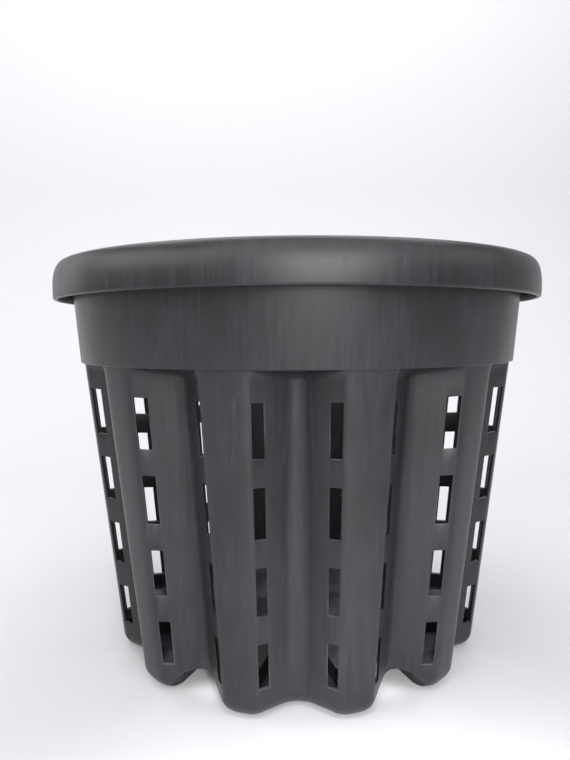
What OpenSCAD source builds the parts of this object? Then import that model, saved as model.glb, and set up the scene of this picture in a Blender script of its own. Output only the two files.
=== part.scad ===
// Round nursery pot with a fluted, slotted wall that keeps roots from circling.
// One thin-walled moulding, split at its own edges into rim, collar, wall, foot ring and floor.
// Origin on the ground under the centre. The -Y side looks into a flute.

/* [Rim] */
// Height from the ground to the top of the rim
pot_h = 238; // [200:1:300]
// Outside diameter of the rim
rim_d = 300; // [270:1:360]
// Width of the rim outside the collar
rim_w = 9.7; // [8:0.1:16]
// Height of the skirt that hangs from the rim
skirt_h = 21.5; // [12:0.5:32]
// How far the skirt leans out towards its lower edge
skirt_flare = 2; // [0:0.1:3]
// Radius of the rim's outer shoulder
rim_round = 4; // [3.2:0.1:6]
// Radius of the rim's inner lip
lip_round = 1.1; // [0.4:0.1:1.2]

/* [Collar] */
// Height of the plain band, from its lower edge to the top of the pot
collar_h = 58; // [45:1:70]
// How far the collar draws in from top to bottom, on the radius
collar_draft = 4.8; // [2:0.1:8]
// Width of the ledge under the collar
ledge_w = 2.1; // [0.8:0.1:2.3]
// Bevel on the collar's lower edge
collar_bevel = 0.6; // [0.2:0.1:1]

/* [Wall] */
// Thickness of the wall and the rim
wall_t = 2.5; // [2.3:0.1:3]
// Diameter over the lobes at the ground
base_d = 227.2; // [215:0.2:240]
// Number of lobes, an even number
lobes = 12; // [10:2:14]
// Width of a lobe's crest at the collar
crest_top_w = 23.8; // [18:0.2:26]
// Width of a lobe's crest at the ground
crest_base_w = 17; // [13:0.2:20]
// Depth of a flute at the collar
flute_top = 17.5; // [14:0.1:18]
// Depth of a flute at the ground
flute_base = 14.3; // [13:0.1:16]
// Radius of the bottom of a flute at the collar
flute_top_r = 7; // [5:0.1:9]
// Radius of the bottom of a flute at the ground
flute_base_r = 11.5; // [8:0.1:13]
// Length of flank that the rounding between crest and flank takes
shoulder = 2.1; // [1:0.1:3]
// Share of a crest's half width that bends towards the flank
crest_round_share = 0.6; // [0.2:0.05:0.9]
// Height over which a flute closes under the collar
flute_end = 7; // [4:0.1:10]

/* [Slots] */
// Number of rows of slots
slot_rows = 4; // [3:1:5]
// Width of a slot at the collar
slot_top_w = 7; // [5:0.1:8]
// Width of a slot at the ground
slot_base_w = 4.5; // [3:0.1:5.5]
// Distance from the collar's lower edge to the top row
slot_head = 15.2; // [12:0.1:25]
// Height of the lowest sill above the foot ring
slot_sill = 2.3; // [1:0.1:8]
// Solid web between the two top rows
slot_gap = 14; // [8:0.1:18]
// How much each web is taller than the one above it
slot_gap_step = 0.7; // [0:0.1:1]
// How much a slot's head and sill fall towards the pot's axis, for each length inwards
slot_dip_share = 0.12; // [0:0.01:0.2]

/* [Foot] */
// Height of the arched notches in every other flute
notch_h = 14.3; // [12:0.1:16]
// Width of a notch at the ground
notch_w = 22; // [18:0.2:26]
// Band of wall left above a notch
notch_web = 1.2; // [0.8:0.1:3]
// Radius where the wall turns under
foot_r = 9.4; // [5:0.1:10]
// Flat left under the ring at a flute
foot_land = 3.6; // [2:0.1:6]

/* [Floor] */
// Thickness of the floor
floor_t = 2.5; // [1.8:0.1:3]
// Height of the raised floor's underside above the ground
floor_rise = 10; // [7:0.1:10.5]
// Length of a foot's pocket, from the raised centre out to the floor's edge
pocket_l = 29.3; // [24:0.1:40]
// Radius of the corners of a channel
channel_round = 3; // [1:0.5:6]
// Diameter of a drain hole
drain_d = 8; // [4:0.5:12]
// Share of the raised centre's radius at which its ring of drain holes lies
drain_ring_share = 0.6; // [0.4:0.05:0.8]

/* [Hidden] */
plastic = "#2c2c2e";
cut_over = 1; // overrun of a cut past the face it opens
arc_steps = 6;
foot_steps = 3;
notch_steps = 5;

pitch_angle = 360 / lobes;
half_angle = pitch_angle / 2;
feet = lobes / 2;

rim_r = rim_d / 2;
collar_top_r = rim_r - rim_w;
collar_base_r = collar_top_r - collar_draft;
collar_z = pot_h - collar_h;
wall_top_r = collar_base_r - ledge_w;
base_r = base_d / 2;
foot_h = notch_h + notch_web;
floor_r = base_r - flute_base - foot_r - foot_land;
hub_r = floor_r - pocket_l;
split_share = 0.72; // how far out along a pocket the foot ring and the floor pan meet
split_r = mix(hub_r, floor_r, split_share);
turn_narrow_share = 0.49; // what a crest's half width loses as the wall turns under, as in an offset
turn_soft_share = 0.5; // what the rounding beside a crest gains as the wall turns under
mouth = [base_r - flute_base - wall_t, notch_w / 2 - channel_round];

// Slot rows: equal pitch, the webs a little taller from row to row downwards
head_z = collar_z - slot_head;
sill_z = foot_h + slot_sill;
last_row = slot_rows - 1;
slot_pitch = (head_z - sill_z + slot_gap + last_row * slot_gap_step) / slot_rows;
function slot_head_z(row) = head_z - row * slot_pitch;
function slot_sill_z(row) = slot_head_z(row) - (slot_pitch - slot_gap - row * slot_gap_step);

function mix(a, b, share) = a + (b - a) * share;
function flatten(lists) = [for (list = lists) each list];
function on_circle(r, angle) = [r * sin(angle), r * cos(angle)];

// Radius over the lobes, and the collar's inner face, at a height
function crest_r(z) = mix(base_r, wall_top_r, z / collar_z);
function collar_inner_r(z) = mix(collar_base_r, collar_top_r, (z - collar_z) / collar_h) - wall_t;

// Half of one lobe at a height, from the edge of its crest to the middle of the flute beside it,
// where the wall has turned in by a length called turn. Each entry is [across, outwards, direction
// of the surface normal]: rounding, flank with the slot's edges, arc of the flute's bottom.
function half_lobe(z, turn) =
    let (share = z / collar_z,
         r = crest_r(z) - turn,
         half_w = mix(crest_base_w, crest_top_w, share) / 2 - turn_narrow_share * turn,
         corner_a = asin(half_w / r),
         corner = on_circle(r, corner_a),
         flute_r = mix(flute_base_r, flute_top_r, share) + turn,
         flute_bottom_r = r - mix(flute_base, flute_top, share),
         centre = on_circle(flute_bottom_r + flute_r, half_angle),
         reach = centre - corner,
         flank_a = atan2(-reach.y, reach.x) + asin(flute_r / norm(reach)),
         flank = [cos(flank_a), -sin(flank_a)],
         flank_l = sqrt(reach * reach - flute_r * flute_r),
         start_a = corner_a * (1 - crest_round_share),
         start = on_circle(r, start_a),
         slot_in = corner + (shoulder + turn_soft_share * turn) * flank,
         slot_out = slot_in + mix(slot_base_w, slot_top_w, share) * flank,
         chord = slot_in - start,
         middle_a = (flank_a + half_angle) / 2)
    [[start.x, start.y, start_a],
     [each (start + 2 * corner + slot_in) / 4, atan2(-chord.y, chord.x)],
     [slot_in.x, slot_in.y, flank_a],
     [slot_out.x, slot_out.y, flank_a],
     [each corner + flank_l * flank, flank_a],
     [each centre - on_circle(flute_r, middle_a), middle_a],
     [each on_circle(flute_bottom_r, half_angle), half_angle]];
side_points = 7; // points from crest to flute bottom
slot_point = 2; // the point from which the slots open
lobe_steps = 2 * side_points - 1;
columns = lobes * lobe_steps;

// One level of the section as [radius, angle, height] for each column: moved in by a wall thickness
// along the normal, closed towards a circle by the share full, and dipping towards the axis
function level(z, inset, full, turn, dip) =
    [for (entry = half_lobe(z, turn))
        let (point = [entry.x, entry.y] - on_circle(inset, entry.z),
             r = mix(crest_r(z) - turn - inset, norm(point), full))
        [r, atan2(point.x, point.y), z - dip * (crest_r(z) - r)]];
// One level that is a plain circle, on the same columns as the section
function round_level(z, r) = [for (entry = half_lobe(z, 0)) [r, atan2(entry.x, entry.y), z]];

// Rings of points round the axis from the levels; the first column is the middle of a flute
function ring_points(levels) =
    [for (column = [0 : columns - 1])
        let (lobe = floor(column / lobe_steps),
             side = column % lobe_steps - side_points,
             turned = half_angle + lobe * pitch_angle)
        for (ring = levels)
            let (place = ring[side < 0 ? -1 - side : side],
                 angle = turned + (side < 0 ? -1 : 1) * place.y)
            [place.x * sin(angle), -place.x * cos(angle), place.z]];

function quad(a, b, c, d) = [[a, b, c], [a, c, d]];
function corner_of(column, i, rings) = (column % columns) * rings + i % rings;

// Skin between neighbouring columns, without the patches that open says are cut away
function skin(rings, open) =
    flatten([for (column = [0 : columns - 1]) for (i = [0 : rings - 1])
        if (!(is_slot(column) && open[i]))
            quad(corner_of(column, i, rings), corner_of(column, i + 1, rings),
                 corner_of(column + 1, i + 1, rings), corner_of(column + 1, i, rings))]);
function is_slot(column) =
    let (side = column % lobe_steps - side_points) side == slot_point || side == -slot_point - 2;

// The four sides of each slot, from the outer ring i to the inner ring that lies level with it
function slot_sides(rings, slot_rings) =
    flatten([for (column = [0 : columns - 1]) if (is_slot(column)) for (i = slot_rings)
        let (low = i, high = i + 1, in_low = rings - 1 - low, in_high = rings - 1 - high,
             next = column + 1)
        concat(
            quad(corner_of(column, low, rings), corner_of(column, high, rings),
                 corner_of(column, in_high, rings), corner_of(column, in_low, rings)),
            quad(corner_of(next, low, rings), corner_of(next, in_low, rings),
                 corner_of(next, in_high, rings), corner_of(next, high, rings)),
            quad(corner_of(column, low, rings), corner_of(column, in_low, rings),
                 corner_of(next, in_low, rings), corner_of(next, low, rings)),
            quad(corner_of(column, high, rings), corner_of(next, high, rings),
                 corner_of(next, in_high, rings), corner_of(column, in_high, rings)))]);

// Rounded lip: down-turned skirt, shoulder, flat top and inner lip
module rim() {
    skirt_z = pot_h - skirt_h;
    shoulder_r = rim_r - skirt_flare;
    inner_r = collar_top_r - wall_t;
    under_z = pot_h - wall_t;
    inner_round = rim_round - wall_t;
    outside = [for (i = [0 : arc_steps]) let (a = 90 * i / arc_steps)
        [shoulder_r - rim_round + rim_round * cos(a), pot_h - rim_round + rim_round * sin(a)]];
    lip = [for (i = [0 : arc_steps]) let (a = 90 + 90 * i / arc_steps)
        [inner_r + lip_round + lip_round * cos(a), pot_h - lip_round + lip_round * sin(a)]];
    inside = [for (i = [0 : arc_steps]) let (a = 90 - 90 * i / arc_steps)
        [shoulder_r - rim_round + inner_round * cos(a), pot_h - rim_round + inner_round * sin(a)]];
    color(plastic)
        rotate_extrude($fn = 180)
            polygon(concat([[rim_r, skirt_z]], outside, lip,
                [[inner_r, under_z]], inside, [[rim_r - wall_t, skirt_z]]));
}

// Plain band under the rim, drawn in slightly, with a bevelled lower edge
module collar() {
    top_z = pot_h - wall_t;
    outer_top_r = collar_inner_r(top_z) + wall_t;
    color(plastic)
        rotate_extrude($fn = 180)
            polygon([
                [collar_base_r - collar_bevel, collar_z],
                [collar_base_r, collar_z + collar_bevel],
                [outer_top_r, top_z],
                [outer_top_r - wall_t, top_z],
                [collar_inner_r(collar_z), collar_z]]);
}

// Tapered wall of lobes and flutes, two columns of slots to a lobe, closed under the collar
module fluted_wall() {
    slot_heights = flatten([for (row = [last_row : -1 : 0]) [slot_sill_z(row), slot_head_z(row)]]);
    ends = [0, 0.7, 1];
    seat_z = collar_z + wall_t;
    levels = concat(
        [level(foot_h, 0, 1, 0, 0)],
        [for (z = slot_heights) level(z, 0, 1, 0, slot_dip_share)],
        [for (s = ends) level(collar_z - flute_end * (1 - s), 0, sqrt(1 - s * s), 0, 0)],
        [for (z = [collar_z, seat_z]) round_level(z, collar_inner_r(z))],
        [for (s = ends) level(seat_z - flute_end * s, wall_t, sqrt(1 - (1 - s) * (1 - s)), 0, 0)],
        [for (i = [2 * slot_rows - 1 : -1 : 0]) level(slot_heights[i], wall_t, 1, 0, slot_dip_share)],
        [level(foot_h, wall_t, 1, 0, 0)]);
    rings = len(levels);
    slot_rings = [for (row = [0 : last_row]) 1 + 2 * row];
    open = [for (i = [0 : rings - 1])
        len(search(i, slot_rings)) > 0 || len(search(rings - 2 - i, slot_rings)) > 0];
    color(plastic)
        polyhedron(ring_points(levels), concat(skin(rings, open), slot_sides(rings, slot_rings)));
}

// Solid inside a surface that lies one inset in from the outside, rounded under to its flat bottom
module cup_block(inset, top_z) {
    bottom_z = floor_t * inset / wall_t;
    turn_r = foot_r - inset;
    turns = [for (i = [foot_steps : -1 : 0]) 90 * i / foot_steps];
    levels = concat(
        [for (a = turns) level(bottom_z + turn_r * (1 - sin(a)), inset, 1, turn_r * (1 - cos(a)), 0)],
        [level(top_z, inset, 1, 0, 0)]);
    rings = len(levels);
    sides = flatten([for (column = [0 : columns - 1]) for (i = [0 : rings - 2])
        quad(corner_of(column, i, rings), corner_of(column, i + 1, rings),
             corner_of(column + 1, i + 1, rings), corner_of(column + 1, i, rings))]);
    centre = rings * columns;
    bottom = [for (column = [0 : columns - 1])
        [corner_of(column, 0, rings), corner_of(column + 1, 0, rings), centre]];
    top = [for (column = [0 : columns - 1])
        [corner_of(column + 1, rings - 1, rings), corner_of(column, rings - 1, rings), centre + 1]];
    polyhedron(concat(ring_points(levels), [[0, 0, bottom_z], [0, 0, top_z]]),
        concat(sides, bottom, top));
}

// Plan of one channel along +X, each corner a circle and the whole grown by a margin.
// It runs out from the raised centre between two lobes' middle lines and narrows to the notch.
function beside_lobe(r) =
    let (off = channel_round + floor_t / 2)
    [r * cos(half_angle) + off * sin(half_angle), r * sin(half_angle) - off * cos(half_angle)];
module corner_pair(point, margin) {
    for (side = [-1, 1])
        translate([point.x, side * point.y])
            circle(channel_round + margin, $fn = 16);
}
module channel_plan(margin) {
    hull() {
        corner_pair(beside_lobe(hub_r / 2), margin);
        corner_pair(beside_lobe(floor_r - channel_round), margin);
        corner_pair(mouth, margin);
    }
}
module mouth_plan(margin) {
    hull() {
        corner_pair(mouth, margin);
        corner_pair(mouth + [wall_t + flute_base, 0], margin);
    }
}

// Copies turned to every notched flute, the first one beside the -Y flute
module at_channels() {
    for (i = [0 : feet - 1])
        rotate(pitch_angle * (2 * i + 1) - 90)
            children();
}
// Copies turned to every foot, the first one at -Y
module at_feet() {
    for (i = [0 : feet - 1])
        rotate(pitch_angle * 2 * i - 90)
            children();
}

// Arch through the wall at a notched flute, open into the channel's end
module notch_cut() {
    reach = base_r - floor_r + 2 * cut_over;
    translate([floor_r - cut_over, 0, 0])
        rotate([90, 0, 90])
            linear_extrude(reach)
                polygon([for (i = [0 : 2 * notch_steps]) let (a = 90 * i / notch_steps)
                    [notch_w / 2 * cos(a), notch_h * sin(a)]]);
}

// The closed lower end of the pot: the wall turned under, feet on the ground, raised channels between
module pan() {
    raised_z = floor_rise + floor_t;
    difference() {
        union() {
            difference() {
                cup_block(0, foot_h);
                cup_block(wall_t, foot_h + cut_over);
            }
            intersection() {
                cup_block(wall_t / 2, foot_h);
                linear_extrude(raised_z) {
                    circle(hub_r, $fn = 60);
                    at_channels() {
                        channel_plan(floor_t);
                        mouth_plan(floor_t);
                    }
                }
            }
        }
        translate([0, 0, -cut_over])
            linear_extrude(floor_rise + cut_over) {
                circle(hub_r - floor_t, $fn = 60);
                at_channels() channel_plan(0);
            }
        at_channels() {
            notch_cut();
            translate([drain_ring_share * hub_r, 0, floor_rise - cut_over])
                cylinder(floor_t + 2 * cut_over, d = drain_d, $fn = 16);
        }
        at_feet()
            translate([(hub_r + floor_r) / 2, 0, -cut_over])
                cylinder(floor_t + 2 * cut_over, d = drain_d, $fn = 16);
    }
}

// The lobes turn under on a radius to the flat that carries the pot; every other flute is notched
module foot_ring() {
    color(plastic)
        difference() {
            pan();
            translate([0, 0, -cut_over])
                cylinder(foot_h + 2 * cut_over, r = split_r, $fn = 60);
        }
}

// Raised centre with channels that drain outwards, and a pocket down to the ground over each foot
module floor_pan() {
    color(plastic)
        intersection() {
            pan();
            translate([0, 0, -cut_over])
                cylinder(foot_h + 2 * cut_over, r = split_r, $fn = 60);
        }
}

rim();
collar();
fluted_wall();
foot_ring();
floor_pan();
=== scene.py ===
import math

import bmesh
import bpy
from mathutils import Matrix, Vector


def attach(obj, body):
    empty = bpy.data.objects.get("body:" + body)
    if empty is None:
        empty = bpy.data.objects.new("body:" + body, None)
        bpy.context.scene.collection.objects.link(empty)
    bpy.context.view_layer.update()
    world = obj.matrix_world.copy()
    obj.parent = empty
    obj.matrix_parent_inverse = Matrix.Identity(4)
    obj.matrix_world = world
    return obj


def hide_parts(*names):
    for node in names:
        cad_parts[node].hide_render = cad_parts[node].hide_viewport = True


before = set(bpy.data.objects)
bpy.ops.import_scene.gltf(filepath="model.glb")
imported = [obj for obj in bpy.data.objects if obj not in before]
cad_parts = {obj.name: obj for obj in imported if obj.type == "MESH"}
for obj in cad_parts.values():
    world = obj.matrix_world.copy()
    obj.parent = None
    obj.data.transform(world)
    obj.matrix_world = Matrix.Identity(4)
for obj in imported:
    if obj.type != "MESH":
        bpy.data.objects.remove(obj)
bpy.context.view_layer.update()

# Sizes are in millimetres, as in the CAD model
mm = 0.001
wallThickness = 2.5
overrun = 1.0  # how far a cutting tool reaches past what it cuts
creaseAngle = 35  # edges sharper than this many degrees stay sharp
turnedCreaseAngle = 30  # and on the turned pieces


# One sRGB hex value as linear red, green and blue
def linear(hexColour):
    values = [int(hexColour[i : i + 2], 16) / 255 for i in (0, 2, 4)]
    colour = [v / 12.92 if v <= 0.04045 else ((v + 0.055) / 1.055) ** 2.4 for v in values]
    return (*colour, 1.0)


def mix(a, b, share):
    return a + (b - a) * share


def linked(name, data):
    thing = bpy.data.objects.new(name, data)
    bpy.context.scene.collection.objects.link(thing)
    return thing


def onCircle(radius, angle):
    return Vector((radius * math.sin(angle), radius * math.cos(angle)))


# Camera, fitted to the photograph: place in metres, angles in radians, sensor and lens in mm
view = {
    "place": (0, -0.4067, 0.1967),
    "yaw": 0.0178,
    "down": 0.0764,
    "roll": -0.0058,
    "turn": -0.0048,
    "sensor": 36,
    "lens": 28.96,
    "nearest": 0.01,
}


def placeCamera():
    yaw, down, roll = view["yaw"], view["down"], view["roll"]
    ahead = Vector((-math.sin(yaw), math.cos(yaw), 0))
    right = Vector((math.cos(yaw), math.sin(yaw), 0))
    forward = ahead * math.cos(down) + Vector((0, 0, -math.sin(down)))
    up = right.cross(forward)
    rolledRight = right * math.cos(roll) + up * math.sin(roll)
    rolledUp = up * math.cos(roll) - right * math.sin(roll)
    basis = Matrix((rolledRight, rolledUp, -forward)).transposed().to_4x4()
    camera = linked("camera", bpy.data.cameras.new("camera"))
    placed = Matrix.Translation(view["place"]) @ basis
    camera.matrix_world = Matrix.Rotation(view["turn"], 4, "Z") @ placed
    camera.data.sensor_width = view["sensor"]
    camera.data.lens = view["lens"]
    camera.data.clip_start = view["nearest"]
    bpy.context.scene.camera = camera


placeCamera()
print("camera placed")

# The fluted wall: its section at the ground and at the ledge under the collar, and its slots
wall = {
    "lobes": 12,
    "baseRadius": 113.6,
    "topRadius": 133.4,
    "ledgeHeight": 180.0,
    "crestBase": 17.0,
    "crestTop": 23.8,
    "crestRoundShare": 0.6,
    "fluteBase": 14.3,
    "fluteTop": 17.5,
    "fluteBaseRound": 11.5,
    "fluteTopRound": 7.0,
    "shoulder": 2.1,
    "fluteEnd": 7.0,
    "slotBase": 5.6,
    "slotTop": 6.75,
    "slotDraft": 0.6,  # how much wider a slot is inside, on each side
    "slotDip": 0.12,  # fall of the sills and heads towards the axis
    "slotEdge": 0.35,
    "slotSills": [17.8, 57.5, 97.7, 138.0],
    "slotHeads": [42.45, 83.1, 123.9, 165.0],
    "domeAngles": (10, 20, 30, 40, 50, 60, 70, 78, 85, 90),
}
foot = {
    "height": 15.5,
    "round": 9.4,
    "turnNarrow": 0.49,  # how much the crest narrows on each side per mm that the wall turns in
    "turnSoft": 0.5,  # how much the shoulder softens per mm
    "notchHeight": 14.3,
    "notchWidth": 22.0,
    "notchFlare": {"inner": 3.5, "throat": 7.5, "outer": 9.0},  # wider than that on each side
    "land": 3.6,
    "turnAngles": (90, 80, 70, 60, 50, 40, 30, 20, 10, 0),
}
pitch = 2 * math.pi / wall["lobes"]
drawnSteps = {"crest": 4, "shoulder": 16, "flute": 16}  # of the exact line
sectionSteps = {"crest": 10, "slot": 3, "flute": 11}  # of the mesh
halfSteps = sum(sectionSteps.values())
lobeSteps = 2 * halfSteps
columnCount = wall["lobes"] * lobeSteps
slotStart = sectionSteps["crest"]
slotEnd = slotStart + sectionSteps["slot"]


def crestRadius(z):
    return mix(wall["baseRadius"], wall["topRadius"], z / wall["ledgeHeight"])


# Points of a curve that bends from one place to another towards a corner, each with its direction
def bend(start, corner, end, steps):
    points = []
    for i in range(steps):
        t = i / steps
        slope = (corner - start) * (1 - t) + (end - corner) * t
        point = start * (1 - t) ** 2 + corner * 2 * t * (1 - t) + end * t**2
        points.append((point, slope.normalized()))
    return points


# Where two lines meet, each given by a point and a direction
def meeting(a, alongA, b, alongB):
    gap = b - a
    turn = alongA.x * alongB.y - alongA.y * alongB.x
    return a + alongA * (gap.x * alongB.y - gap.y * alongB.x) / turn


# The direction along a circle about the axis, towards larger angles
def downwards(angle):
    return Vector((math.cos(angle), -math.sin(angle)))


# Points at even steps between two places along a line of points
def spaced(points, lengths, start, end, steps):
    result = []
    k = 0
    for i in range(steps):
        wanted = mix(start, end, i / steps)
        while lengths[k + 1] < wanted:
            k += 1
        share = (wanted - lengths[k]) / (lengths[k + 1] - lengths[k])
        result.append(points[k].lerp(points[k + 1], share))
    return result


# Half a lobe at a height, from the crest's middle to the flute's bottom: an arc about the axis,
# a soft shoulder, a straight flank that carries the slot, and the flute's own arc. The wall has
# turned in by turn, as it does at the foot, and the surface lies inset from the outside. Inside,
# the slots are wider, because the cores that form them draw out along the lobe.
def halfLobe(z, inset=0.0, turn=0.0):
    share = z / wall["ledgeHeight"]
    half = pitch / 2
    radius = crestRadius(z) - turn
    halfCrest = mix(wall["crestBase"], wall["crestTop"], share) / 2 - foot["turnNarrow"] * turn
    cornerAngle = math.asin(halfCrest / radius)
    corner = onCircle(radius, cornerAngle)
    fluteRound = mix(wall["fluteBaseRound"], wall["fluteTopRound"], share) + turn
    centre = onCircle(radius - mix(wall["fluteBase"], wall["fluteTop"], share) + fluteRound, half)
    reach = centre - corner
    flankAngle = math.atan2(-reach.y, reach.x) + math.asin(fluteRound / reach.length)
    flank = downwards(flankAngle)
    slotIn = corner + (wall["shoulder"] + foot["turnSoft"] * turn) * flank
    slotOut = slotIn + mix(wall["slotBase"], wall["slotTop"], share) * flank
    startAngle = cornerAngle * (1 - wall["crestRoundShare"])
    start = onCircle(radius, startAngle)
    corner = meeting(start, downwards(startAngle), slotIn, flank)
    line = []
    for i in range(drawnSteps["crest"]):
        a = startAngle * i / drawnSteps["crest"]
        line.append((onCircle(radius, a), downwards(a)))
    line += bend(start, corner, slotIn, drawnSteps["shoulder"])
    line.append((slotIn, flank))
    for i in range(drawnSteps["flute"] + 1):
        a = mix(flankAngle, half, i / drawnSteps["flute"])
        line.append((centre - onCircle(fluteRound, a), downwards(a)))
    points = [point + Vector((along.y, -along.x)) * inset for point, along in line]
    lengths = [0.0]
    for a, b in zip(points, points[1:]):
        lengths.append(lengths[-1] + (b - a).length)

    def lengthAt(across):  # how far along the line it reaches so far across the lobe
        k = next(i for i, point in enumerate(points) if point.x > across)
        share = (across - points[k - 1].x) / (points[k].x - points[k - 1].x)
        return mix(lengths[k - 1], lengths[k], share)

    draft = wall["slotDraft"] * inset / wallThickness
    innerSlotIn = slotIn - onCircle(inset, flankAngle)
    stops = (0.0, lengthAt(innerSlotIn.x - draft), lengthAt(slotOut.x + draft), lengths[-1])
    result = []
    for first, last, steps in zip(stops, stops[1:], sectionSteps.values()):
        result += spaced(points, lengths, first, last, steps)
    return result + [points[-1]]


# One closed ring of the wall: full is 1 for the open flutes and 0 for a plain circle, and dip
# lowers the ring towards the axis
def wallRing(z, inset=0.0, full=1.0, turn=0.0, dip=0.0):
    outside = crestRadius(z) - turn - inset
    places = []
    for point in halfLobe(z, inset, turn):
        radius = mix(outside, point.length, full)
        places.append((radius, math.atan2(point.x, point.y), z - dip * (crestRadius(z) - radius)))
    return turned(places)


# A plain circle with the wall's own columns
def circleRing(z, radius):
    return turned([(radius, math.atan2(point.x, point.y), z) for point in halfLobe(z)])


# The whole ring from the places of half a lobe
def turned(places):
    ring = []
    for column in range(columnCount):
        lobe, step = divmod(column, lobeSteps)
        side = step - halfSteps
        radius, angle, z = places[abs(side)]
        a = (lobe + 0.5) * pitch + (angle if side > 0 else -angle)
        ring.append(onAxis(radius, a, z))
    return ring


def isSlot(column):
    step = column % lobeSteps - halfSteps
    return slotStart <= step < slotEnd or slotStart <= -step - 1 < slotEnd


def onAxis(radius, angle, z):  # a place in metres, with the angle taken from -Y
    return (radius * math.sin(angle) * mm, -radius * math.cos(angle) * mm, z * mm)


def finished(bm, name):
    bmesh.ops.recalc_face_normals(bm, faces=bm.faces)
    mesh = bpy.data.meshes.new(name)
    bm.to_mesh(mesh)
    bm.free()
    return mesh


# A closed solid through a list of rings with equal numbers of places
def lofted(rings, name):
    bm = bmesh.new()
    grid = [[bm.verts.new(place) for place in ring] for ring in rings]
    for lower, upper in zip(grid, grid[1:]):
        for i in range(len(lower)):
            bm.faces.new((lower[i - 1], lower[i], upper[i], upper[i - 1]))
    bm.faces.new(grid[0][::-1])
    bm.faces.new(grid[-1])
    return finished(bm, name)


# Adds one piece at the origin, riding on the body and standing for its CAD node
def newPiece(name, mesh, node):
    piece = linked(name, mesh)
    mesh.materials.clear()
    mesh.materials.append(plastic)
    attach(piece, "root")
    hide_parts(node)


# Smooth shading that keeps each edge sharper than the angle
def smoothByAngle(mesh, degrees):
    bm = bmesh.new()
    bm.from_mesh(mesh)
    for face in bm.faces:
        face.smooth = True
    for edge in bm.edges:
        edge.smooth = len(edge.link_faces) == 2 and edge.calc_face_angle(0) < math.radians(degrees)
    bm.to_mesh(mesh)
    bm.free()


# Mesh of an object after its modifiers
def evaluated(piece, name):
    graph = bpy.context.evaluated_depsgraph_get()
    mesh = bpy.data.meshes.new_from_object(piece.evaluated_get(graph))
    mesh.name = name
    return mesh


# One mesh after a list of cuts, unions and overlaps with other closed meshes
def combined(mesh, steps, name):
    work = linked(name + "_work", mesh)
    tools = []
    for operation, tool in steps:
        other = linked(name + "_tool", tool)
        tools.append(other)
        change = work.modifiers.new(operation, "BOOLEAN")
        change.operation = operation
        change.solver = "MANIFOLD"
        change.object = other
    result = evaluated(work, name)
    for thing in tools + [work]:
        old = thing.data
        bpy.data.objects.remove(thing)
        bpy.data.meshes.remove(old)
    return result


# Adds one node with its settings. Each socket gets a value, or a link from another node's output
def addNode(tree, kind, sockets, output=0, **settings):
    node = tree.nodes.new("ShaderNode" + kind)
    for name, value in settings.items():
        setattr(node, name, value)
    for socket, value in sockets.items():
        if isinstance(value, bpy.types.NodeSocket):
            tree.links.new(value, node.inputs[socket])
        else:
            node.inputs[socket].default_value = value
    return node.outputs[output]


# Polypropylene dyed with carbon black, injection moulded in a matt steel mould. To the eye it is
# a near-black satin, a little uneven: a fine grain, faint upright streaks where the pot was drawn
# out of the mould, and paler marks where its edges and broad faces have rubbed.
plasticLook = {
    "dark": "1a181b",
    "pale": "252227",
    "rubbed": "6b6a70",
    "smooth": 0.33,
    "dull": 0.42,
    "rubbedDulls": 0.2,
    "ior": 1.49,
    "edge": 0.8,
    # width and height of one patch in mm, lean of the pattern, and its detail
    "patterns": {
        "grain": (0.9, 0.9, (0, 0, 0), 1.0),  # the real grain, about 0.2 mm, is too fine to show
        "streak": (2.2, 90.0, (0, 0, 0), 3.0),
        "wave": (15.0, 140.0, (0, 0, 0), 1.0),
        "patch": (30.0, 45.0, (0, 0, 0), 4.0),
        "scratch": (1.2, 55.0, (0.1, 0.16, 0.0), 2.0),
    },
    "depths": {"wave": 0.14, "streak": 0.012, "grain": 0.02},
    # where each mask starts, where it is full, and its strength there
    "masks": {
        "worn": (0.45, 0.62, 1.0),
        "edge": (0.955, 0.78, 0.5),
        "scratch": (0.65, 0.82, 0.26),
        "dust": (0.6, 1.0, 0.3),
        "shade": (0.16, 0.36, 1.0),
    },
}


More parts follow.
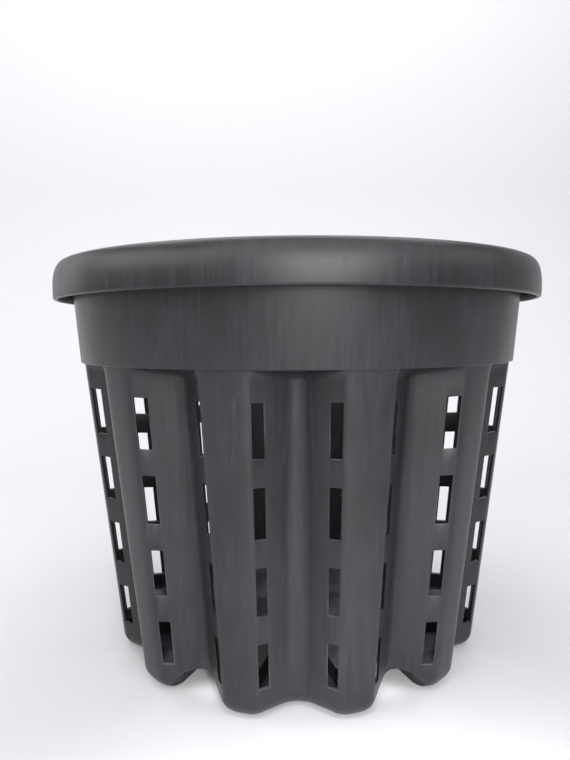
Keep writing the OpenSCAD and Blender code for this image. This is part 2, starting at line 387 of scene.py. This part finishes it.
def mouldedPlastic():
    look = plasticLook
    material = bpy.data.materials.new("moulded_polypropylene")
    material.use_nodes = True
    tree = material.node_tree
    place = addNode(tree, "TexCoord", {}, "Object")
    pattern = {}
    for name, (width, height, lean, detail) in look["patterns"].items():
        sockets = {"Vector": place, "Rotation": lean}
        sockets["Scale"] = (width * mm, width * mm, height * mm)
        placed = addNode(tree, "Mapping", sockets, vector_type="TEXTURE")
        sockets = {"Vector": placed, "Scale": 1.0, "Detail": detail}
        pattern[name] = addNode(tree, "TexNoise", sockets)

    # Rubbed places: sharp edges, a few scratches, and dust on faces that look up, all in patches.
    # The joins between the pieces are moulded through, so there is no edge there.
    normal = addNode(tree, "NewGeometry", {}, "Normal")
    rounded = addNode(tree, "Bevel", {"Radius": look["edge"] * mm}, samples=4)
    bent = addNode(tree, "VectorMath", {0: normal, 1: rounded}, "Value", operation="DOT_PRODUCT")
    flow = {0: pattern["patch"], 1: pattern["streak"]}
    sources = {
        "worn": pattern["patch"],
        "edge": bent,
        "scratch": pattern["scratch"],
        "dust": addNode(tree, "SeparateXYZ", {0: normal}, 2),
        "shade": addNode(tree, "Math", flow, operation="MULTIPLY"),
    }
    mask = {}
    for name, value in sources.items():
        start, full, strength = look["masks"][name]
        sockets = {"Value": value, "From Min": start, "From Max": full, "To Max": strength}
        mask[name] = addNode(tree, "MapRange", sockets)
    height = addNode(tree, "SeparateXYZ", {0: place}, 2)
    join = {0: height, 1: foot["height"] * mm, 2: look["edge"] * mm}
    atJoin = addNode(tree, "Math", join, operation="COMPARE")
    edge = addNode(tree, "Math", {0: mask["edge"], 1: atJoin}, operation="SUBTRACT")
    marks = addNode(tree, "Math", {0: mask["scratch"], 1: edge}, operation="MAXIMUM")
    marks = addNode(tree, "Math", {0: marks, 1: mask["dust"]}, operation="MAXIMUM")
    marks = addNode(tree, "Math", {0: marks, 1: mask["worn"]}, operation="MULTIPLY")

    # Colour and roughness follow the flow of the plastic and the marks
    tones = {0: mask["shade"], 6: linear(look["dark"]), 7: linear(look["pale"])}
    base = addNode(tree, "Mix", tones, 2, data_type="RGBA")
    tones = {0: marks, 6: base, 7: linear(look["rubbed"])}
    colour = addNode(tree, "Mix", tones, 2, data_type="RGBA")
    gloss = {0: mask["shade"], 1: look["dull"] - look["smooth"], 2: look["smooth"]}
    satin = addNode(tree, "Math", gloss, operation="MULTIPLY_ADD")
    gloss = {0: marks, 1: look["rubbedDulls"], 2: satin}
    roughness = addNode(tree, "Math", gloss, operation="MULTIPLY_ADD")

    shape = None
    for name, depth in look["depths"].items():
        sockets = {"Height": pattern[name], "Distance": depth * mm}
        if shape:
            sockets["Normal"] = shape
        shape = addNode(tree, "Bump", sockets)

    shader = tree.nodes["Principled BSDF"]
    shader.inputs["IOR"].default_value = look["ior"]
    tree.links.new(colour, shader.inputs["Base Color"])
    tree.links.new(roughness, shader.inputs["Roughness"])
    tree.links.new(shape, shader.inputs["Normal"])
    return material


plastic = mouldedPlastic()


# The collar, and the rim, whose shoulder and lower edge are a little fuller than the CAD model's
collar = {"bottom": 180.0, "baseRadius": 135.5, "topRadius": 140.3, "bevel": 0.6}
rim = {
    "top": 238.0,
    "radius": 150.0,
    "skirt": 21.5,
    "crownWidth": 6.0,
    "crownHeight": 14.0,
    "crownPower": 2.15,
    "lip": 1.1,
    "edge": 1.4,
    "innerEdge": 0.5,
    "steps": 288,
}
arcSteps = {"crown": 18, "innerCrown": 9, "lip": 5, "edge": 5, "innerEdge": 3, "bevel": 4}


def collarInner(z):
    share = (z - collar["bottom"]) / (rim["top"] - collar["bottom"])
    return mix(collar["baseRadius"], collar["topRadius"], share) - wallThickness


# A closed profile of (radius, height) turned about the axis
def revolved(name, profile):
    bm = bmesh.new()
    rings = []
    for i in range(rim["steps"]):
        a = 2 * math.pi * i / rim["steps"]
        rings.append([bm.verts.new(onAxis(radius, a, z)) for radius, z in profile])
    for i in range(len(rings)):
        here, after = rings[i - 1], rings[i]
        for j in range(len(profile)):
            bm.faces.new((here[j - 1], here[j], after[j], after[j - 1]))
    mesh = finished(bm, name)
    smoothByAngle(mesh, turnedCreaseAngle)
    return mesh


def arcPoints(centre, radius, fromAngle, toAngle, steps):
    points = []
    for i in range(steps + 1):
        a = math.radians(mix(fromAngle, toAngle, i / steps))
        points.append((centre[0] + radius * math.cos(a), centre[1] + radius * math.sin(a)))
    return points


# The rim's crown: a quarter of a squared oval about its centre, shrunk by an inset
def crownPoints(inset, fromAngle, toAngle, steps):
    width, height = rim["crownWidth"], rim["crownHeight"]
    power = 2 / rim["crownPower"]
    centre = (rim["radius"] - width, rim["top"] - height)
    points = []
    for i in range(steps + 1):
        a = math.radians(mix(fromAngle, toAngle, i / steps))
        across = max(0.0, math.cos(a)) ** power
        up = max(0.0, math.sin(a)) ** power
        points.append((centre[0] + (width - inset) * across, centre[1] + (height - inset) * up))
    return points


def buildRim():
    top, radius, lip = rim["top"], rim["radius"], rim["lip"]
    edge, innerEdge = rim["edge"], rim["innerEdge"]
    inner = collar["topRadius"] - wallThickness
    skirt = top - rim["skirt"]
    edgeCentre = (radius - edge, skirt + edge)
    innerEdgeCentre = (radius - wallThickness + innerEdge, skirt + innerEdge)
    profile = arcPoints(edgeCentre, edge, -90, 0, arcSteps["edge"])
    profile += crownPoints(0.0, 0, 90, arcSteps["crown"])
    profile += arcPoints((inner + lip, top - lip), lip, 90, 180, arcSteps["lip"])
    profile += [(inner, top - wallThickness)]
    profile += crownPoints(wallThickness, 90, 0, arcSteps["innerCrown"])
    profile += arcPoints(innerEdgeCentre, innerEdge, 180, 270, arcSteps["innerEdge"])
    return revolved("rim_moulding", profile)


def buildCollar():
    top, bottom, bevel = rim["top"] - wallThickness, collar["bottom"], collar["bevel"]
    topRadius = collarInner(top) + wallThickness
    bevelCentre = (collar["baseRadius"] - bevel, bottom + bevel)
    profile = arcPoints(bevelCentre, bevel, -90, 0, arcSteps["bevel"])
    profile += [(topRadius, top), (topRadius - wallThickness, top), (collarInner(bottom), bottom)]
    return revolved("collar_moulding", profile)


newPiece("rim_moulding", buildRim(), "rim")
newPiece("collar_moulding", buildCollar(), "collar")
print("rim and collar built")


# Wall: lobes and flutes from the foot up to the ledge, domed shut there, with its slots open
def buildWall():
    top, end = wall["ledgeHeight"], wall["fluteEnd"]
    seat = top + wallThickness
    closing = [math.sin(math.radians(a)) for a in wall["domeAngles"]]
    levels = [(foot["height"], 0.0)]
    slotLevels = []
    for sill, head in zip(wall["slotSills"], wall["slotHeads"]):
        slotLevels += [len(levels), len(levels) + 1]
        levels += [(z, wall["slotDip"]) for z in (sill, mix(sill, head, 0.5), head)]
    levels.append((top - end, 0.0))
    outer = [wallRing(z, dip=dip) for z, dip in levels]
    inner = [wallRing(z, wallThickness, dip=dip) for z, dip in levels[:-1]]
    inner.append(wallRing(seat - end, wallThickness))
    for s in closing:
        full = math.sqrt(max(0.0, 1 - s * s))
        outer.append(wallRing(top - end * (1 - s), 0.0, full))
        inner.append(wallRing(seat - end * (1 - s), wallThickness, full))
    middle = [circleRing(top, collarInner(top)), circleRing(seat, collarInner(seat))]
    rings = outer + middle + inner[::-1]
    count = len(rings)

    def within(level):  # the inner ring that lies behind an outer one
        return count - 1 - level

    bm = bmesh.new()
    grid = [[bm.verts.new(place) for place in ring] for ring in rings]
    weights = bm.edges.layers.float.new("bevel_weight_edge")
    openPatches = set(slotLevels) | {within(level) - 1 for level in slotLevels}
    for column in range(columnCount):
        for i in range(count):
            if isSlot(column) and i in openPatches:
                continue
            low, high, after = grid[i], grid[(i + 1) % count], (column + 1) % columnCount
            bm.faces.new((low[column], low[after], high[after], high[column]))

    def side(a, b, c, d):
        bm.faces.new((a, b, c, d))
        for edge in ((a, b), (c, d)):
            bm.edges.get(edge)[weights] = 1.0

    for column in range(columnCount):
        if not isSlot(column):
            continue
        after = (column + 1) % columnCount
        for low in slotLevels:
            high = low + 1
            for border, beyond in ((column, column - 1), (after, after)):
                if not isSlot(beyond):
                    around = (low, high, within(high), within(low))
                    side(*[grid[level][border] for level in around])
        for sillLevel, headLevel in zip(slotLevels[::2], slotLevels[1::2]):
            for level in (sillLevel, headLevel + 1):
                here, behind = grid[level], grid[within(level)]
                side(here[column], here[after], behind[after], behind[column])
    return finished(bm, "wall_moulding")


def bevelSlots(mesh):
    work = linked("wall_work", mesh)
    edges = work.modifiers.new("slot edges", "BEVEL")
    edges.width = wall["slotEdge"] * mm
    edges.segments = 2
    edges.limit_method = "WEIGHT"
    result = evaluated(work, "wall_moulding")
    bpy.data.objects.remove(work)
    bpy.data.meshes.remove(mesh)
    return result


wallMesh = bevelSlots(buildWall())
smoothByAngle(wallMesh, creaseAngle)
newPiece("wall_moulding", wallMesh, "fluted_wall")
print("wall built", len(wallMesh.polygons))

# Floor: a raised centre with channels out to the notches, and a pocket over each foot
floor = {
    "thickness": 2.5,
    "rise": 10.0,
    "pocket": 29.3,
    "split": 78.1,
    "cornerRound": 3.0,
    "drain": 4.0,  # radius
    "drainRingShare": 0.6,
    "circleSteps": 120,
    "splitSteps": 60,
    "cornerSteps": 32,
    "archSteps": 24,
}
fluteRadius = wall["baseRadius"] - wall["fluteBase"]
floorEdge = fluteRadius - foot["round"] - foot["land"]
hubRadius = floorEdge - floor["pocket"]
throat = fluteRadius - wallThickness
wallEnd = wall["baseRadius"] + overrun


# A closed solid between rings of the wall, inset from its outside and rounded under at the foot
def footShell(inset, bottom, top, name):
    turnRadius = foot["round"] - inset
    rings = []
    for angle in foot["turnAngles"]:
        a = math.radians(angle)
        turn = turnRadius * (1 - math.cos(a))
        rings.append(wallRing(bottom + turnRadius * (1 - math.sin(a)), inset, turn=turn))
    rings.append(wallRing(top, inset))
    return lofted(rings, name)


# A ring of (x, y, z) places turned about the axis, in metres
def swung(ring, angle):
    cosA, sinA = math.cos(angle), math.sin(angle)
    return [((x * cosA - y * sinA) * mm, (x * sinA + y * cosA) * mm, z * mm) for x, y, z in ring]


# A closed prism from an outline of (x, y) points, turned about the axis and lifted to its place
def prism(outline, bottom, top, name, angle=0.0):
    return lofted([swung([(x, y, z) for x, y in outline], angle) for z in (bottom, top)], name)


def circleOutline(radius, steps, centre=(0.0, 0.0)):
    angles = [2 * math.pi * (i + 0.5) / steps for i in range(steps)]
    return [(centre[0] + radius * math.cos(a), centre[1] + radius * math.sin(a)) for a in angles]


# Outline round a set of points as a stretched band would lie
def hullOutline(points):
    points = sorted(points)

    def chain(items):
        line = []
        for p in items:
            while len(line) > 1:
                a, b = line[-2], line[-1]
                if (b[0] - a[0]) * (p[1] - a[1]) - (b[1] - a[1]) * (p[0] - a[0]) > 0:
                    break
                line.pop()
            line.append(p)
        return line[:-1]

    return chain(points) + chain(points[::-1])


# Plan of a channel along +X, grown by a margin, and of its mouth through the wall
def channelOutlines(margin):
    half = pitch / 2
    rounding = floor["cornerRound"] + margin
    off = floor["cornerRound"] + floor["thickness"] / 2

    def besideLobe(radius):
        return (
            radius * math.cos(half) + off * math.sin(half),
            radius * math.sin(half) - off * math.cos(half),
        )

    halfMouth = foot["notchWidth"] / 2 - floor["cornerRound"]
    inside = [besideLobe(hubRadius / 2), besideLobe(floorEdge - floor["cornerRound"])]
    mouth = [
        (throat, halfMouth + foot["notchFlare"]["throat"]),
        (wallEnd, halfMouth + foot["notchFlare"]["outer"]),
    ]

    def outline(places):
        points = []
        for x, y in places:
            for side in (-1, 1):
                points += circleOutline(rounding, floor["cornerSteps"], (x, side * y))
        return hullOutline(points)

    return outline(inside + mouth[:1]), outline(mouth)


# An arch along the channel that flares outwards
def archTool(angle):
    steps = floor["archSteps"]
    rings = []
    for name, x in (("inner", floorEdge - overrun), ("throat", throat), ("outer", wallEnd)):
        half = foot["notchWidth"] / 2 + foot["notchFlare"][name]
        ring = []
        for i in range(steps + 1):
            a = math.pi * i / steps
            ring.append((x, half * math.cos(a), foot["notchHeight"] * math.sin(a)))
        ring += [(x, -half, -overrun), (x, half, -overrun)]
        rings.append(swung(ring, angle))
    return lofted(rings, "arch_tool")


def drainTool(radius, bottom, top, angle):
    hole = circleOutline(floor["drain"], floor["cornerSteps"], (radius, 0))
    return ("DIFFERENCE", prism(hole, bottom - overrun, top + overrun, "drain_tool", angle))


def buildPan():
    thickness, rise = floor["thickness"], floor["rise"]
    raisedTop = rise + thickness
    lobePairs = range(wall["lobes"] // 2)
    notchAngles = [pitch * (2 * i + 1) - math.pi / 2 for i in lobePairs]
    footAngles = [pitch * 2 * i - math.pi / 2 for i in lobePairs]
    hub = circleOutline(hubRadius, floor["circleSteps"])
    hubInside = circleOutline(hubRadius - thickness, floor["circleSteps"])

    # The raised floor: the hub and the channels, kept within the wall
    raised = []
    for angle in notchAngles:
        for outline in channelOutlines(thickness):
            tool = prism(outline, thickness / 2, raisedTop, "raised_tool", angle)
            raised.append(("UNION", tool))
    clip = footShell(wallThickness / 2, thickness / 2, foot["height"], "clip_tool")
    raised.append(("INTERSECT", clip))
    block = combined(prism(hub, thickness / 2, raisedTop, "hub_block"), raised, "raised_block")

    # The pan around it, with the space under the hub and channels, the arches and the drains
    inside = footShell(wallThickness, thickness, foot["height"] + overrun, "inside_tool")
    under = prism(hubInside, -overrun, rise, "hub_tool")
    steps = [("DIFFERENCE", inside), ("UNION", block), ("DIFFERENCE", under)]
    for angle in notchAngles:
        channel = prism(channelOutlines(0.0)[0], -overrun, rise, "channel_tool", angle)
        steps.append(("DIFFERENCE", channel))
        steps.append(("DIFFERENCE", archTool(angle)))
        steps.append(drainTool(floor["drainRingShare"] * hubRadius, rise, raisedTop, angle))
    for angle in footAngles:
        steps.append(drainTool(mix(hubRadius, floorEdge, 0.5), 0.0, thickness, angle))
    return combined(footShell(0.0, 0.0, foot["height"], "pan"), steps, "pan")


panMesh = buildPan()
print("pan built", len(panMesh.polygons))


# The pan is split at the CAD model's own circle into the foot ring and the floor
def splitPan(operation, name):
    circle = circleOutline(floor["split"], floor["splitSteps"])
    knife = prism(circle, -overrun, foot["height"] + overrun, "split_tool")
    mesh = combined(panMesh.copy(), [(operation, knife)], name)
    smoothByAngle(mesh, creaseAngle)
    return mesh


newPiece("foot_moulding", splitPan("DIFFERENCE", "foot_moulding"), "foot_ring")
newPiece("floor_moulding", splitPan("INTERSECT", "floor_moulding"), "floor_pan")
bpy.data.meshes.remove(panMesh)
print("foot and floor built")

# Studio, in metres: pale paper that sweeps up behind the pot, and soft light
studio = {
    "paper": "c8c8cb",
    "paperRoughness": 0.85,
    "halfWidth": 1.8,
    "front": -1.4,
    "sweep": 0.5,
    "sweepSteps": 24,
    "back": 0.9,
    "height": 2.4,
    "world": 0.35,
    "spotRadius": 0.05,
}


def buildBackdrop():
    material = bpy.data.materials.new("pale_paper")
    material.use_nodes = True
    shader = material.node_tree.nodes["Principled BSDF"]
    shader.inputs["Base Color"].default_value = linear(studio["paper"])
    shader.inputs["Roughness"].default_value = studio["paperRoughness"]
    back, halfWidth = studio["back"], studio["halfWidth"]
    sweep, steps = studio["sweep"], studio["sweepSteps"]
    profile = [(studio["front"], 0.0)]
    for i in range(steps + 1):
        a = math.radians(90 * i / steps)
        profile.append((back - sweep * (1 - math.sin(a)), sweep * (1 - math.cos(a))))
    profile.append((back, studio["height"]))
    bm = bmesh.new()
    rows = [[bm.verts.new((x, y, z)) for x in (-halfWidth, halfWidth)] for y, z in profile]
    for lower, upper in zip(rows, rows[1:]):
        bm.faces.new((lower[0], lower[1], upper[1], upper[0])).smooth = True
    mesh = bpy.data.meshes.new("backdrop")
    bm.to_mesh(mesh)
    bm.free()
    mesh.materials.append(material)
    linked("backdrop", mesh)


# Soft boxes: place and target in metres, width and height, and power in watts. Two stand for the
# window before the pot, and the others for the pale room round it.
softBoxes = {
    "window": ((0.2, -1.15, 0.5), (0, 0, 0.19), (0.9, 0.4), 7.4),
    "window_sill": ((0.2, -1.2, 0.22), (0, 0, 0.15), (0.6, 0.3), 2.6),
    "front_above": ((0.05, -0.85, 1.0), (0, -0.1, 0.1), (1.4, 0.8), 6.0),
    "left_panel": ((-1.25, -0.7, 0.85), (0, 0, 0.22), (1.8, 0.7), 10.0),
    "right_panel": ((1.25, -0.7, 0.85), (0, 0, 0.22), (1.8, 0.7), 4.0),
    "left_edge": ((-1.3, 0.5, 0.6), (0, 0, 0.15), (0.5, 0.8), 1.3),
    "backdrop_light": ((0, 0.3, 1.4), (0, 0.9, 0.45), (1.6, 0.4), 6.8),
    "behind_rim": ((-0.15, 0.75, 1.2), (0, 0, 0.238), (1.4, 0.3), 3.0),
    "overhead": ((0, 0.1, 1.3), (0, 0, 0), (2.0, 0.9), 7.0),
}
# Spots: place, target, cone in degrees, and power. They light the floor before the pot, which the
# lower wall and the foot mirror.
spots = {
    "floor_pool": ((0.03, -0.6, 1.1), (0.03, -0.3, 0), 22, 50),
    "foot_glow": ((0.25, -1.0, 0.36), (0.03, -0.14, 0.01), 17, 34),
}


def addLight(name, data, place, target, power):
    data.energy = power
    light = linked(name, data)
    light.location = place
    light.rotation_euler = (Vector(target) - Vector(place)).to_track_quat("-Z", "Y").to_euler()
    light.visible_camera = False


def lightScene():
    world = bpy.data.worlds.new("studio")
    bpy.context.scene.world = world
    world.use_nodes = True
    background = world.node_tree.nodes["Background"]
    background.inputs["Color"].default_value = (1, 1, 1, 1)
    background.inputs["Strength"].default_value = studio["world"]
    for name, (place, target, size, power) in softBoxes.items():
        data = bpy.data.lights.new(name, "AREA")
        data.shape = "RECTANGLE"
        data.size, data.size_y = size
        addLight(name, data, place, target, power)
    for name, (place, target, cone, power) in spots.items():
        data = bpy.data.lights.new(name, "SPOT")
        data.spot_size = math.radians(cone)
        data.spot_blend = 1.0
        data.shadow_soft_size = studio["spotRadius"]
        addLight(name, data, place, target, power)
    bpy.context.scene.view_settings.view_transform = "Standard"


buildBackdrop()
lightScene()
print("stage and light set")
